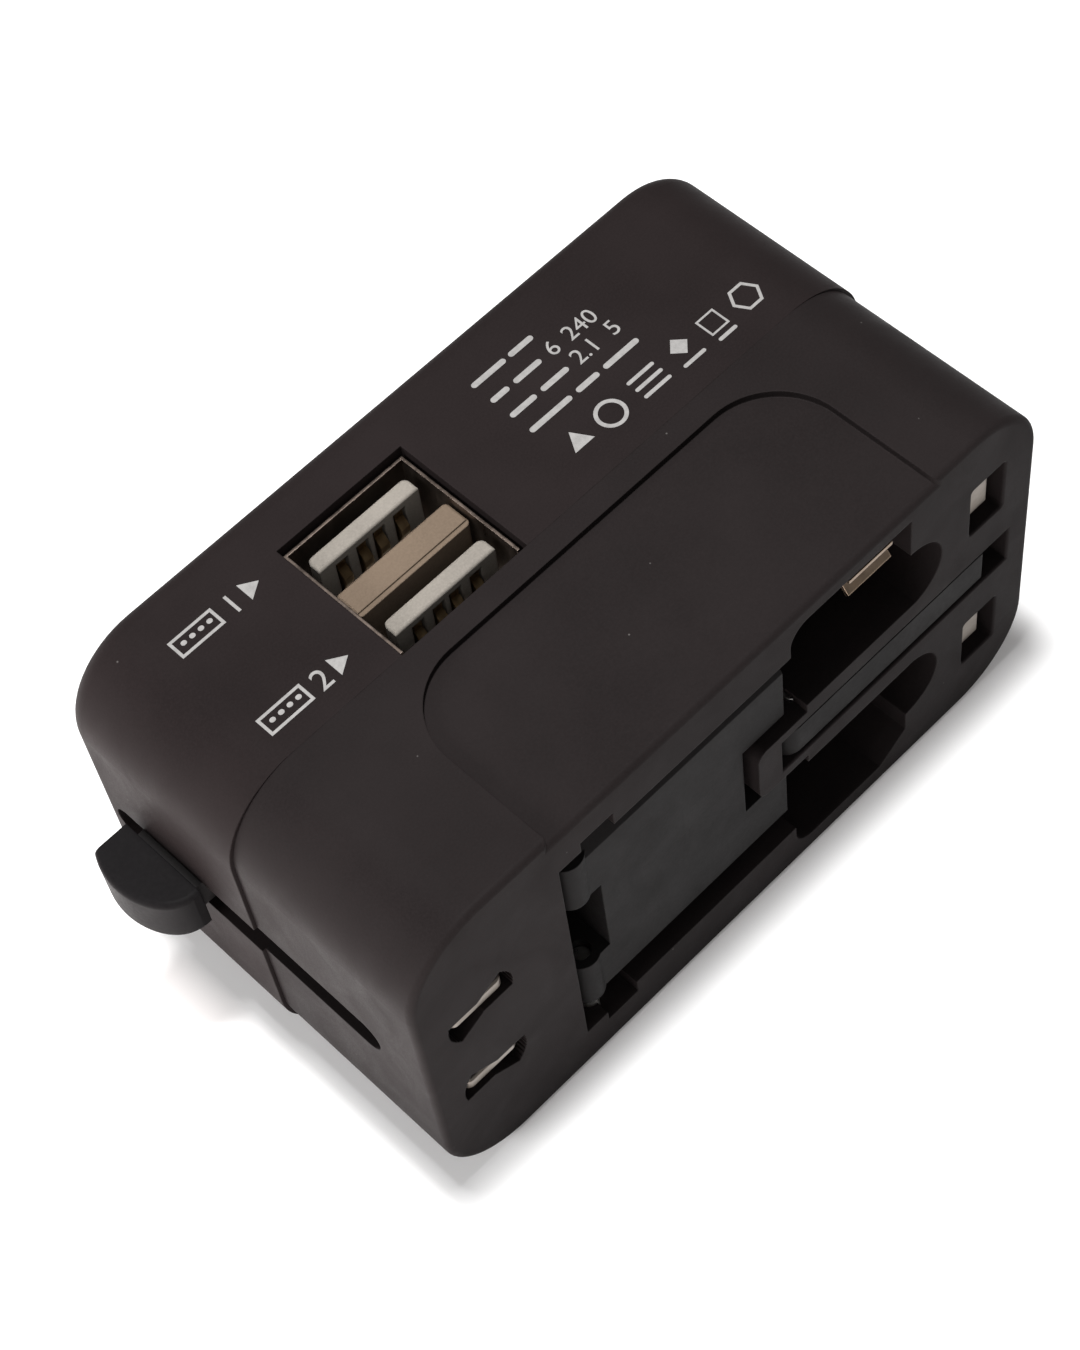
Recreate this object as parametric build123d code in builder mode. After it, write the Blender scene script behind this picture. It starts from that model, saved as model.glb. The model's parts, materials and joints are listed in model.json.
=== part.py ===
from build123d import *
import os

# Universal travel adapter, in millimetres, lying on its lower broad face.
# X runs along the body, -Y is the plug face, +Y is the socket face, +Z is the face with the USB window.
# Heights named "z" in the helpers are measured from the body's middle plane, which is at height MID.

# ---- housing ----
BODY_X = 80.0
BODY_Y = 44.0
BODY_Z = 44.0
MID = BODY_Z / 2
HALF_Y = BODY_Y / 2
CORNER = 9.0
SEAM_STEP = 0.4
RIM_ROUND = 2.2
GRIP_DEPTH = 0.8
GRIP_X = 1.5
GRIP_WIDTH = 47.9
GRIP_LOW_Y = -25.0
GRIP_HIGH_Y = -2.6
GRIP_CORNER = 7.5
WALL = 2.2
HOLLOW_Z = 39.0
HOLLOW_CORNER = 6.6
FACE_WALL = 2.0
FACE_ROUND = 0.7
MOUTH_ROUND = 0.25
PLUG_FACE = -HALF_Y
SOCKET_FACE = HALF_Y
CUT = 1.0
FIT = 0.05

# ---- sliders on the two ends ----
TRACK_X = (37.0, 41.0)
TRACK_HALF = 2.1
TRACK_LOW = -15.6
TRACK_HIGH = 19.4
ARM_Y = (4.2, 18.6)
ARM_HALF = 1.85
ARM_FACE = 38.6
TAB_OUT = 42.6
TAB_Y = (7.2, 15.3)
KNOB_Y = (6.0, 16.3)
KNOB_HALF = 3.0
KNOB_BASE = 40.9
KNOB_TOE = 41.8
KNOB_BACK = 44.8
KNOB_CREST = ((45.8, 13.4), (45.4, 9.4), (43.8, 6.9))
KNOB_ROUND = 0.6

# ---- flat-blade plug (two turning blades) ----
BLADE_X = -32.6
BLADE_PITCH = 12.7
BLADE_WIDTH = 6.35
BLADE_THICK = 1.5
BLADE_TURN = 30.0
BLADE_Y = (-21.6, 10.5)
BLADE_SLOT = (7.4, 2.2)
BLADE_SLOT_STEPS = 5
DRUM_R = 3.55
DRUM_Y = (-1.8, 8.1)
DRUM_FLANGE_R = 4.2
DRUM_FLANGE_Y = (8.1, 9.6)
US_CARRIAGE_X = (-37.0, -27.8)
US_CARRIAGE_Y = (-1.8, 12.0)
US_CARRIAGE_HALF = 12.3

# ---- three-pin plug ----
PIN_X = 32.9
PIN_PITCH = 22.2
PIN_DX = 4.0
PIN_DZ = 6.35
PIN_Y = (-20.9, 8.0)
PIN_CHAMFER = 0.9
PIN_WINDOW = (4.6, 7.0)
UK_CARRIAGE_X = (28.9, 37.0)
UK_CARRIAGE_Y = (-0.6, 14.0)
UK_CARRIAGE_Z = (7.3, 14.9)
UK_BRIDGE_Y = 8.6
UK_TAIL = 38.0
EARTH_AXIS_X = 8.9
EARTH_AXIS_Y = -19.6
EARTH_SLOT = (5.2, 36.4)
EARTH_SLOT_HALF = 2.5
EARTH_HALF = 2.0
EARTH_TOP = -21.8
EARTH_DEEP = -13.8
EARTH_TIP = 34.0
EARTH_HEEL = 5.7
EARTH_AXLE_R = 0.8
TONGUE_HALF = 3.9
TONGUE_ROOT_HALF = 5.1
TONGUE_Y = -12.0

# ---- round-pin plug, folded into its bay ----
EURO_AXIS_X = -19.5
EURO_AXIS_Y = -19.6
EURO_TOP = -21.2
EURO_DEEP = -8.2
EURO_END = 6.3
EURO_HALF = 15.0
EURO_PIN_Y = -14.7
EURO_PIN_PITCH = 19.0
EURO_PIN_R = 2.0
EURO_PIN_LENGTH = 19.0
EURO_PIN_ROOT = -4.0
EURO_PIN_TIP = 9.0
EURO_SHANK_R = 1.6
EURO_SLEEVE_R = 1.95
EURO_SLEEVE = 10.0
EURO_CHAMFER = (1.6, 2.6)
KNUCKLE_Z = (5.8, 13.0)
KNUCKLE_R = 1.9
NOTCH_R = 20.4
NOTCH_HALF = 5.35
BAY_DEEP = -6.0
EURO_AXLE_R = 1.0
BAY_WALL_X = (-24.0, 28.2)
BAY_WALL_HALF = 19.8
EARTH_WALL_X = (28.0, 37.3)
EARTH_WALL_Y = -12.2
EARTH_WALL_HALF = 4.0
MOUTH_PLUG = ((-15.5, 6.9), 15.4)
MOUTH_EARS = ((-22.0, -15.4), 15.9)
MOUTH_NICHES = ((-19.3, -15.4), 17.3)
MOUTH_CHANNELS = (6.6, 25.3)
MOUTH_RIGHT = 22.3
MOUTH_HALF = 19.2
CHANNEL_R = 4.4
CHANNEL_Z = 9.4
MOUTH_CUT = (3.7, 2.6)

# ---- leaf contacts beside the pin channels ----
LEAF_X = (14.6, 19.8)
LEAF_PLATE_X = (14.4, 20.0)
LEAF_Z = (18.0, 18.45)
LEAF_LIP_Y = -21.8
LEAF_BEND_Y = -20.2
LEAF_PLATE_Z = 16.0
LEAF_PLATE_Y = -21.7
LEAF_LOW_X = (12.4, 18.4)
LEAF_LOW_Y = -12.0
LEAF_FOOT_Y = -3.6
LEAF_THICK = 0.4

# ---- USB window ----
USB_X = -10.55
USB_WINDOW = (-18.1, -3.0)
USB_WINDOW_TOP = 16.1
USB_TONGUE_WIDTH = 12.1
USB_TONGUE_Y = ((12.5, 14.3), (2.7, 4.5))
USB_CONTACT_X = tuple(USB_X + offset for offset in (-3.5, -1.0, 1.0, 3.5))
USB_FLOOR = 8.6
USB_FLOOR_X = (-17.4, -3.7)
USB_FLOOR_THICK = 1.8
USB_SHIELD_X = (-17.8, -3.3)
USB_SHIELD_Y = (0.4, 15.8)
USB_SHIELD_Z = (8.2, 21.1)
USB_SHIELD_THICK = 0.3
USB_SHIELD_NEAR_TOP = 19.8
USB_TOP = 20.6
USB_GROOVE = (0.75, 0.55)
USB_CONTACT_HALF = 0.5
USB_CONTACT_BOW = (14.6, 16.6, 17.4, 18.6)
DIVIDER_X = (-17.3, -3.8)
DIVIDER_Y = (6.5, 9.8)
DIVIDER_STEP = (0.45, 0.5)

# ---- socket ----
SOCKET_X = 14.0
SOCKET_EARTH_X = SOCKET_X - PIN_PITCH
PLATE_X = 4.5
PLATE_SIZE = 35.0
SCREWS = ((-32.5, -17.0), (-32.5, 17.0), (26.2, -16.8), (26.2, 16.8))
SCREW_R = 1.25
POST_R = (2.4, 2.0)
HEAD_R = 2.4
PLATE_THICK = 1.4
PLATE_LEDGE = 3.0
PLATE_DISH = 0.5

# ---- circuit board and contacts inside ----
BOARD_Y = -0.3
BOARD_SIZE = (52.0, 36.0)
BOARD_THICK = 1.6
FRAME_Y = -4.6
FRAME_THICK = 1.4
FRAME_SIZE = (53.4, 38.4)
BUS_X = (-26.9, 28.4)
BUS_Y = (2.2, 3.0)
BUS_Z = (4.2, 7.4)
BUS_TAB = 0.6
FORK_Z = (4.4, 14.6)
FORK_Y = (3.0, 17.0)
FORK_HALF = 2.9
STRIP = 0.5
FUSE_X = 23.4
FUSE_Y = 10.0
FUSE_HALF = 10.0
FUSE_R = 2.3
FUSE_CAP_R = 2.55
CLIP_Z = (7.8, 9.8)
CORE_X = (-24.0, -12.5)
CORE_Y = (BOARD_Y, 11.5)
CORE_Z = (-17.6, -8.4)
WINDING_X = (-21.9, -14.6)
WINDING_Y = (1.6, 9.6)
WINDING_Z = (-17.9, -8.1)
CHIP_X = (-23.0, -18.1)
CHIP_Z = (-2.9, 1.0)
CHIP_PITCH = 1.27
INDUCTOR = (-22.0, 12.0)
INDUCTOR_R = (3.0, 2.2)
INDUCTOR_Y = (0.5, 3.3, 4.1)

os.makedirs("parts", exist_ok=True)


def cross(y):
    """Plane across the body at depth y, local x along X, local y along Z, normal towards the plug face."""
    return Plane(origin=(0, y, MID), x_dir=(1, 0, 0), z_dir=(0, -1, 0))


def level(z):
    """Horizontal plane at height z above the body's middle plane."""
    return Plane.XY.offset(MID + z)


def block(x, y, z, mode=Mode.ADD):
    """Box from low to high along each axis, z measured from the middle plane."""
    with Locations(((x[0] + x[1]) / 2, (y[0] + y[1]) / 2, MID + (z[0] + z[1]) / 2)):
        Box(x[1] - x[0], y[1] - y[0], z[1] - z[0], mode=mode)


def rod_y(x, z, y, radius, mode=Mode.ADD):
    """Cylinder along Y from y[0] to y[1]."""
    with Locations(Location((x, (y[0] + y[1]) / 2, MID + z), (90, 0, 0))):
        Cylinder(radius, y[1] - y[0], mode=mode)


def rod_z(x, y, z, radius, mode=Mode.ADD):
    """Cylinder along Z from z[0] to z[1]."""
    with Locations((x, y, MID + (z[0] + z[1]) / 2)):
        Cylinder(radius, z[1] - z[0], mode=mode)


def rod_x(y, z, x, radius, mode=Mode.ADD):
    """Cylinder along X from x[0] to x[1]."""
    with Locations(Location(((x[0] + x[1]) / 2, y, MID + z), (0, 90, 0))):
        Cylinder(radius, x[1] - x[0], mode=mode)


def slot_bar(side, x, y, half, mode=Mode.ADD):
    """Bar along Y with round ends at one end of the body, from x[0] to x[1] outwards and y[0] to y[1]."""
    outer = Plane(origin=(side * x[1], 0, MID), x_dir=(0, 1, 0), z_dir=(-side, 0, 0))
    with BuildSketch(outer) as outline:
        with Locations(((y[0] + y[1]) / 2, 0)):
            SlotOverall(y[1] - y[0], 2 * half)
    extrude(outline.sketch, amount=x[1] - x[0], mode=mode)


def mirrored(side, low, high):
    """The range low to high on the side +1, or its mirror image on the side -1, lowest first."""
    return tuple(sorted((side * low, side * high)))


def around(centre, size):
    """The range of the given size about a centre."""
    return (centre - size / 2, centre + size / 2)


def grown(span, margin):
    """The range grown by a margin at both ends, or shrunk by a negative one."""
    return (span[0] - margin, span[1] + margin)


def save(piece, name):
    piece.part.label = name
    export_step(piece.part, "parts/" + name + ".step")


# ------------------------------------------------------------ rear shell, the plug side
with BuildPart() as rear_shell:
    with BuildSketch(cross(0)):
        RectangleRounded(BODY_X - 2 * SEAM_STEP, BODY_Z, CORNER)
    extrude(amount=HALF_Y)
    # finger recess on the upper broad face, open to the plug face
    with BuildSketch(level(MID - GRIP_DEPTH)):
        with Locations((GRIP_X, (GRIP_LOW_Y + GRIP_HIGH_Y) / 2)):
            RectangleRounded(GRIP_WIDTH, GRIP_HIGH_Y - GRIP_LOW_Y, GRIP_CORNER)
        with Locations((GRIP_X, PLUG_FACE + GRIP_CORNER / 2)):
            Rectangle(GRIP_WIDTH, 2 * GRIP_CORNER)
    extrude(amount=GRIP_DEPTH + CUT, mode=Mode.SUBTRACT)
    fillet(rear_shell.faces().sort_by(Axis.Y)[0].edges(), FACE_ROUND)
    # hollow inside
    with BuildSketch(cross(0)):
        RectangleRounded(BODY_X - 2 * SEAM_STEP - 2 * WALL, HOLLOW_Z, HOLLOW_CORNER)
    extrude(amount=HALF_Y - FACE_WALL, mode=Mode.SUBTRACT)
    # walls of the bay that holds the folded round-pin plug
    wall_front = PLUG_FACE + 0.5
    block(BAY_WALL_X, (wall_front, BAY_DEEP), (-BAY_WALL_HALF, BAY_WALL_HALF))
    # housing of the folded earth pin beyond the bay
    block(EARTH_WALL_X, (wall_front, EARTH_WALL_Y), (-EARTH_WALL_HALF, EARTH_WALL_HALF))
    # screw posts
    for x, z in SCREWS[:2]:
        rod_y(x, z, (PLUG_FACE + CUT, 0), POST_R[0])
    for x, z in SCREWS[2:]:
        rod_y(x, z, (BAY_DEEP, 0), POST_R[1])
    # mouth of the bay: plug, hinge ears, side niches and rounded pin channels
    with BuildSketch(cross(BAY_DEEP)):
        for span, half in (MOUTH_PLUG, MOUTH_EARS, MOUTH_NICHES):
            with Locations((sum(span) / 2, 0)):
                Rectangle(span[1] - span[0], 2 * half)
        with Locations((sum(MOUTH_CHANNELS) / 2, 0)):
            RectangleRounded(MOUTH_CHANNELS[1] - MOUTH_CHANNELS[0], 2 * MOUTH_HALF, 2.4)
        beyond = MOUTH_CHANNELS[1] - MOUTH_RIGHT + CUT
        with Locations((MOUTH_RIGHT + beyond / 2, 0)):
            Rectangle(beyond, 2 * MOUTH_HALF, mode=Mode.SUBTRACT)
        with BuildLine():
            Polyline(
                (MOUTH_RIGHT, -MOUTH_HALF),
                (MOUTH_RIGHT - MOUTH_CUT[0], -MOUTH_HALF),
                (MOUTH_RIGHT, MOUTH_CUT[1] - MOUTH_HALF),
                (MOUTH_RIGHT, -MOUTH_HALF),
            )
        make_face(mode=Mode.SUBTRACT)
        with Locations((MOUTH_RIGHT, CHANNEL_Z), (MOUTH_RIGHT, -CHANNEL_Z)):
            Circle(CHANNEL_R)
    extrude(amount=HALF_Y + BAY_DEEP + CUT, mode=Mode.SUBTRACT)
    # tongue that carries the earth pin, reaching over the bay from the right
    with BuildSketch(cross(TONGUE_Y)):
        with Locations((17.0, 0)):
            RectangleRounded(30.0, 2 * TONGUE_HALF, 1.2)
        with Locations((17.35, 0)):
            Rectangle(17.7, 2 * TONGUE_ROOT_HALF)
    extrude(amount=HALF_Y + TONGUE_Y)
    slot_half = (-EARTH_SLOT_HALF, EARTH_SLOT_HALF)
    block(EARTH_SLOT, (PLUG_FACE - CUT, TONGUE_Y - 1.2), slot_half, Mode.SUBTRACT)
    # bore for the earth pin's axle, through both cheeks of the tongue
    rod_z(EARTH_AXIS_X, EARTH_AXIS_Y, (-4.4, 4.4), EARTH_AXLE_R, Mode.SUBTRACT)
    # bores for the round-pin plug's axles
    rod_z(EURO_AXIS_X, EURO_AXIS_Y, (-18.6, 18.6), EURO_AXLE_R, Mode.SUBTRACT)
    # windows of the line and neutral pins
    for side in (1, -1):
        with BuildSketch(cross(PLUG_FACE + FACE_WALL + 0.5)):
            with Locations((PIN_X, side * PIN_PITCH / 2)):
                RectangleRounded(*PIN_WINDOW, 0.4)
        extrude(amount=FACE_WALL + 1.5, mode=Mode.SUBTRACT)
    # hourglass slots in which the flat blades turn
    for side in (1, -1):
        with BuildSketch(cross(PLUG_FACE + FACE_WALL + 0.5)):
            with Locations((BLADE_X, side * BLADE_PITCH / 2)):
                for step in range(BLADE_SLOT_STEPS):
                    turn = BLADE_TURN * step / (BLADE_SLOT_STEPS - 1)
                    Rectangle(*BLADE_SLOT, rotation=side * turn)
        extrude(amount=FACE_WALL + 1.5, mode=Mode.SUBTRACT)
    # slider tracks through the two ends
    for side in (1, -1):
        slot_bar(side, TRACK_X, (TRACK_LOW, 4.0), TRACK_HALF, Mode.SUBTRACT)
    # pilot holes of the four screws
    for x, z in SCREWS:
        rod_y(x, z, (-14.0, 0.1), SCREW_R, Mode.SUBTRACT)
    # broken edges round the earth pin's slot and the pin windows
    wires = rear_shell.faces().sort_by(Axis.Y)[0].inner_wires()
    small = [wire for wire in wires if len(wire.edges()) <= 8]
    fillet([edge for wire in small for edge in wire.edges()], MOUTH_ROUND)
save(rear_shell, "rear_shell")

# ------------------------------------------------------------ front shell, the socket side
with BuildPart() as front_shell:
    with BuildSketch(Plane(origin=(0, 0, MID), x_dir=(-1, 0, 0), z_dir=(0, 1, 0))):
        RectangleRounded(BODY_X, BODY_Z, CORNER)
    extrude(amount=HALF_Y)
    fillet(front_shell.faces().sort_by(Axis.Y)[-1].edges(), RIM_ROUND)
    with BuildSketch(cross(SOCKET_FACE - WALL)):
        RectangleRounded(BODY_X - 2 * WALL - SEAM_STEP, HOLLOW_Z + SEAM_STEP, HOLLOW_CORNER)
    extrude(amount=HALF_Y - WALL, mode=Mode.SUBTRACT)
    # screw posts, with countersunk seats in the socket face
    for x, z in SCREWS:
        rod_y(x, z, (0, SOCKET_FACE - CUT), POST_R[0] if x < 0 else POST_R[1])
    # opening for the socket plate, with a ledge behind it
    with BuildSketch(cross(SOCKET_FACE + CUT)):
        with Locations((PLATE_X, 0)):
            RectangleRounded(PLATE_SIZE + 4 * FIT, PLATE_SIZE + 4 * FIT, 3.1)
    extrude(amount=PLATE_THICK + CUT, mode=Mode.SUBTRACT)
    with BuildSketch(cross(SOCKET_FACE + CUT)):
        with Locations((PLATE_X, 0)):
            RectangleRounded(PLATE_SIZE - PLATE_LEDGE, PLATE_SIZE - PLATE_LEDGE, 2.0)
    extrude(amount=PLATE_THICK + WALL + CUT, mode=Mode.SUBTRACT)
    # USB window, open to the seam
    block(USB_WINDOW, (-0.1, USB_WINDOW_TOP), (17.0, 23.0), Mode.SUBTRACT)
    # slider tracks
    for side in (1, -1):
        slot_bar(side, TRACK_X, (-4.0, TRACK_HIGH), TRACK_HALF, Mode.SUBTRACT)
    # holes and countersinks of the four screws
    for x, z in SCREWS:
        rod_y(x, z, (-0.1, SOCKET_FACE + 0.1), SCREW_R, Mode.SUBTRACT)
        with Locations(Location((x, SOCKET_FACE - 0.75, MID + z), (-90, 0, 0))):
            Cone(SCREW_R, HEAD_R, 1.5, mode=Mode.SUBTRACT)
save(front_shell, "front_shell")

# ------------------------------------------------------------ socket plate
with BuildPart() as socket_plate:
    with BuildSketch(cross(SOCKET_FACE)):
        with Locations((PLATE_X, 0)):
            RectangleRounded(PLATE_SIZE, PLATE_SIZE, 3.0)
    extrude(amount=PLATE_THICK)
    boss = PLATE_SIZE - PLATE_LEDGE - 4 * FIT
    with BuildSketch(cross(SOCKET_FACE - PLATE_THICK)):
        with Locations((PLATE_X, 0)):
            RectangleRounded(boss, boss, 2.0)
    extrude(amount=1.6)
    # dished face
    with BuildSketch(cross(SOCKET_FACE)):
        with Locations((PLATE_X, 0)):
            RectangleRounded(PLATE_SIZE - 4.0, PLATE_SIZE - 4.0, 2.0)
    extrude(amount=PLATE_DISH, mode=Mode.SUBTRACT)
    # line and neutral openings take rectangular, round, flat and slanted pins
    for side in (1, -1):
        with BuildSketch(cross(SOCKET_FACE + 0.5)):
            with Locations((SOCKET_X, side * PIN_PITCH / 2)):
                Rectangle(*PIN_WINDOW)
            with Locations((SOCKET_X, side * EURO_PIN_PITCH / 2)):
                Circle(2.6)
            with Locations((SOCKET_X, side * BLADE_PITCH / 2)):
                Rectangle(*BLADE_SLOT)
            with Locations((SOCKET_X, side * BLADE_PITCH / 2)):
                Rectangle(BLADE_SLOT[0], 2.0, rotation=side * BLADE_TURN)
            with Locations((SOCKET_X, side * 8.6)):
                Rectangle(4.4, 6.0)
        extrude(amount=4.0, mode=Mode.SUBTRACT)
    # earth opening
    with BuildSketch(cross(SOCKET_FACE + 0.5)):
        with Locations((SOCKET_EARTH_X, 0)):
            RectangleRounded(8.6, 4.8, 0.4)
    extrude(amount=4.0, mode=Mode.SUBTRACT)
save(socket_plate, "socket_plate")

# ------------------------------------------------------------ housing screws
with BuildPart() as housing_screws:
    for x, z in SCREWS:
        rod_y(x, z, (-9.0, SOCKET_FACE - 1.5), SCREW_R - 0.03)
        with Locations(Location((x, SOCKET_FACE - 0.8, MID + z), (-90, 0, 0))):
            Cone(SCREW_R - 0.03, HEAD_R - 0.15, 1.4)
        # cross recess
        for width, height in ((2.6, 0.5), (0.5, 2.6)):
            recess = (SOCKET_FACE - 0.7, SOCKET_FACE)
            block(around(x, width), recess, around(z, height), Mode.SUBTRACT)
save(housing_screws, "housing_screws")

# ------------------------------------------------------------ insulating mid frame, the floor of the bay
with BuildPart() as mid_frame:
    with BuildSketch(cross(FRAME_Y)):
        with Locations((0.9, 0)):
            RectangleRounded(*FRAME_SIZE, 3.0)
        with Locations(*SCREWS[2:]):
            Circle(POST_R[1] + 0.3, mode=Mode.SUBTRACT)
        # passages of the leaf contacts
        with Locations((17.7, 18.4), (15.4, -18.4)):
            Rectangle(7.2, 2.0, mode=Mode.SUBTRACT)
    extrude(amount=FRAME_THICK)
    # upstand ribs that carry the circuit board
    for x in (-24.5, 26.0):
        block((x, x + 1.2), (FRAME_Y, -1.9), (-12.0, 12.0))
save(mid_frame, "mid_frame")

# ------------------------------------------------------------ bus bars
for name, side in (("live_bus", 1), ("neutral_bus", -1)):
    bus_z = mirrored(side, *BUS_Z)
    with BuildPart() as bus:
        block(BUS_X, BUS_Y, bus_z)
        block((BUS_X[0], BUS_X[0] + BUS_TAB), (-8.0, BUS_Y[1]), bus_z)
        block((BUS_X[1] - BUS_TAB, BUS_X[1]), (-4.0, BUS_Y[1]), bus_z)
    save(bus, name)

# ------------------------------------------------------------ socket contacts, sprung brass forks
for name, side in (("socket_contact_live", 1), ("socket_contact_neutral", -1)):
    fork_z = mirrored(side, *FORK_Z)
    with BuildPart() as contact:
        block(around(SOCKET_X, 2 * FORK_HALF), (FORK_Y[0], FORK_Y[0] + 0.6), fork_z)
        for edge in (-1, 1):
            near = SOCKET_X + edge * (FORK_HALF - STRIP)
            far = SOCKET_X + edge * FORK_HALF
            block(tuple(sorted((near, far))), FORK_Y, fork_z)
            lip = tuple(sorted((near, far + edge)))
            block(lip, (FORK_Y[1] - STRIP, FORK_Y[1]), fork_z)
    save(contact, name)

# ------------------------------------------------------------ leaf contacts at the sides of the bay
with BuildPart() as euro_leaf_live:
    block(LEAF_X, (LEAF_BEND_Y, LEAF_FOOT_Y), LEAF_Z)
    block(LEAF_PLATE_X, (LEAF_LIP_Y, LEAF_BEND_Y), LEAF_Z)
    # sprung plate sloping down and forwards from the bend
    with BuildSketch(Plane(origin=(LEAF_PLATE_X[0], 0, MID), x_dir=(0, 1, 0), z_dir=(1, 0, 0))):
        with BuildLine():
            Polyline(
                (LEAF_BEND_Y, LEAF_Z[0]),
                (LEAF_PLATE_Y, LEAF_PLATE_Z),
                (LEAF_PLATE_Y + LEAF_THICK, LEAF_PLATE_Z - LEAF_THICK),
                (LEAF_BEND_Y + LEAF_THICK, LEAF_Z[0]),
                (LEAF_BEND_Y + LEAF_THICK, LEAF_Z[1]),
                (LEAF_BEND_Y, LEAF_Z[1]),
                (LEAF_BEND_Y, LEAF_Z[0]),
            )
        make_face()
    extrude(amount=LEAF_PLATE_X[1] - LEAF_PLATE_X[0])
save(euro_leaf_live, "euro_leaf_live")

# its partner on the lower side ends deeper in the bay
with BuildPart() as euro_leaf_neutral:
    block(LEAF_LOW_X, (LEAF_LOW_Y, LEAF_FOOT_Y), mirrored(-1, *LEAF_Z))
    lip_y = (LEAF_LOW_Y, LEAF_LOW_Y + LEAF_THICK)
    block(LEAF_LOW_X, lip_y, mirrored(-1, LEAF_Z[0] - 0.6, LEAF_Z[1]))
save(euro_leaf_neutral, "euro_leaf_neutral")

# ------------------------------------------------------------ USB receptacles
with BuildPart() as usb_shield:
    block(USB_SHIELD_X, USB_SHIELD_Y, USB_SHIELD_Z)
    inside_x = grown(USB_SHIELD_X, -USB_SHIELD_THICK)
    inside_y = grown(USB_SHIELD_Y, -USB_SHIELD_THICK)
    block(inside_x, inside_y, (USB_SHIELD_Z[0] + USB_SHIELD_THICK, MID), Mode.SUBTRACT)
    # wall on the plug side, lower than the others
    near_wall = (USB_SHIELD_Y[0] - FIT, inside_y[0])
    block(USB_SHIELD_X, near_wall, (USB_SHIELD_NEAR_TOP, MID), Mode.SUBTRACT)
save(usb_shield, "usb_shield")

with BuildPart() as usb_divider:
    block(DIVIDER_X, DIVIDER_Y, (USB_FLOOR, USB_TOP - 0.3))
    fillet(usb_divider.edges().filter_by(Axis.Z), 0.5)
    chamfer(usb_divider.faces().sort_by(Axis.Z)[-1].edges(), 0.25)
    # moulded step along the plug side
    step_y = (DIVIDER_Y[0] - 0.1, DIVIDER_Y[0] + DIVIDER_STEP[0])
    block(grown(DIVIDER_X, 0.1), step_y, (USB_TOP - DIVIDER_STEP[1], USB_TOP), Mode.SUBTRACT)
save(usb_divider, "usb_divider")

for name, depth, floor in (
    ("usb_tongue_front", USB_TONGUE_Y[0], (9.9, 15.2)),
    ("usb_tongue_rear", USB_TONGUE_Y[1], (0.8, 6.4)),
):
    with BuildPart() as tongue:
        block(around(USB_X, USB_TONGUE_WIDTH), depth, (USB_FLOOR + 1.4, USB_TOP))
        # ends rounded on the shield side
        fillet(tongue.edges().filter_by(Axis.Z).group_by(Axis.Y)[-1], 0.7)
        fillet(tongue.faces().sort_by(Axis.Z)[-1].edges(), 0.3)
        block(USB_FLOOR_X, floor, (USB_FLOOR, USB_FLOOR + USB_FLOOR_THICK))
        # grooves for the four contacts
        groove_y = (depth[0] - 0.1, depth[0] + USB_GROOVE[1])
        groove_z = (USB_FLOOR + USB_FLOOR_THICK, USB_TOP - 1.0)
        for x in USB_CONTACT_X:
            block(around(x, 2 * USB_GROOVE[0]), groove_y, groove_z, Mode.SUBTRACT)
    save(tongue, name)

for name, depth in (("usb_contacts_front", USB_TONGUE_Y[0]), ("usb_contacts_rear", USB_TONGUE_Y[1])):
    strip_y = (depth[0] + 0.2, depth[0] + 0.45)
    strip_z = (USB_FLOOR + USB_FLOOR_THICK + 0.1, USB_TOP - 1.3)
    back = depth[0] + 0.3
    crest = depth[0] - 0.5
    with BuildPart() as contacts:
        for x in USB_CONTACT_X:
            block(around(x, 2 * USB_CONTACT_HALF), strip_y, strip_z)
            # sprung bow of the contact
            left = Plane(origin=(x - USB_CONTACT_HALF, 0, MID), x_dir=(0, 1, 0), z_dir=(1, 0, 0))
            with BuildSketch(left):
                with BuildLine():
                    Polyline(
                        (back, USB_CONTACT_BOW[0]),
                        (crest, USB_CONTACT_BOW[1]),
                        (crest, USB_CONTACT_BOW[2]),
                        (back, USB_CONTACT_BOW[3]),
                        (back, USB_CONTACT_BOW[0]),
                    )
                make_face()
            extrude(amount=2 * USB_CONTACT_HALF)
    save(contacts, name)

# ------------------------------------------------------------ circuit board and its components
with BuildPart() as circuit_board:
    with BuildSketch(cross(BOARD_Y)):
        with Locations((1.0, 0)):
            Rectangle(*BOARD_SIZE)
        # passage for a long earth pin in the socket
        with Locations((SOCKET_EARTH_X, 0)):
            Rectangle(9.4, 5.6, mode=Mode.SUBTRACT)
        with Locations(*SCREWS[2:]):
            Circle(POST_R[1] + 0.6, mode=Mode.SUBTRACT)
    extrude(amount=BOARD_THICK)
save(circuit_board, "circuit_board")

with BuildPart() as transformer_core:
    block(CORE_X, CORE_Y, CORE_Z)
    block(grown(WINDING_X, 0.1), grown(WINDING_Y, 0.1), grown(WINDING_Z, 0.1), Mode.SUBTRACT)
save(transformer_core, "transformer_core")

with BuildPart() as transformer_winding:
    block(WINDING_X, WINDING_Y, WINDING_Z)
    fillet(transformer_winding.edges().filter_by(Axis.Z), 1.2)
save(transformer_winding, "transformer_winding")

for name, x, z, radius, height in (
    ("capacitor_large", 5.0, -13.0, 4.0, 11.5),
    ("capacitor_small", 3.0, 13.0, 3.15, 10.8),
):
    with BuildPart() as capacitor:
        rod_y(x, z, (BOARD_Y, height + BOARD_Y), radius)
        fillet(capacitor.edges().sort_by(Axis.Y)[-1], 0.5)
        with Locations(Location((x, 1.2, MID + z), (90, 0, 0))):
            Torus(radius + 0.25, 0.5, mode=Mode.SUBTRACT)
    save(capacitor, name)

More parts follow.
